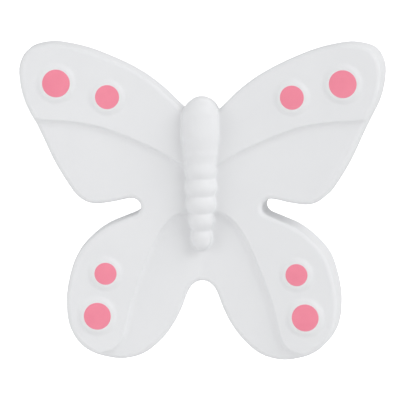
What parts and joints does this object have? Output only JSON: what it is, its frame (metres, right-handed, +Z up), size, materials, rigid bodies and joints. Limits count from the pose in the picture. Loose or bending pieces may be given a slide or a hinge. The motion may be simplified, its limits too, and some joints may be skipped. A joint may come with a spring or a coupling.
{
  "type": "butterfly furniture knob",
  "caption": "Child's-room drawer knob shaped as a spread butterfly in matte white with pink round spots, on a short stem with a screw fixing.",
  "frame": {"origin": "centre of the stem's rear face, which seats on the furniture", "axes": "+X to the viewer's right across the wings, +Y from the stem into the furniture along the screw, +Z up towards the butterfly's head; the butterfly faces -Y"},
  "size_m": [0.0598, 0.043, 0.0518],
  "materials": {
    "white_resin": "matte",
    "pink_enamel": "satin",
    "insert_brass": "satin",
    "zinc_steel": "zinc plated"
  },
  "bodies": {
    "knob": {"butterfly": "white_resin", "stem": "white_resin", "threaded_insert": "insert_brass", "spot_left_fore_large": "pink_enamel", "spot_left_fore_small": "pink_enamel", "spot_left_hind_small": "pink_enamel", "spot_left_hind_large": "pink_enamel", "spot_right_fore_large": "pink_enamel", "spot_right_fore_small": "pink_enamel", "spot_right_hind_small": "pink_enamel", "spot_right_hind_large": "pink_enamel"},
    "washer": {"washer": "zinc_steel"},
    "screw": {"fixing_screw": "zinc_steel"}
  },
  "joints": [
    {"name": "screw_travel", "type": "slide", "parent": "knob", "child": "washer", "axis": [0, 1, 0], "range_m": [-0.0035, 0.00896]},
    {"name": "screw_turn", "type": "hinge", "parent": "washer", "child": "screw", "pos_m": [0, 0.017, 0], "axis": [0, 1, 0], "range_deg": [-1801, 4609]}
  ],
  "couplings": [
    {"joint": "screw_turn", "follows": "screw_travel", "rad_per_m": 8976}
  ]
}
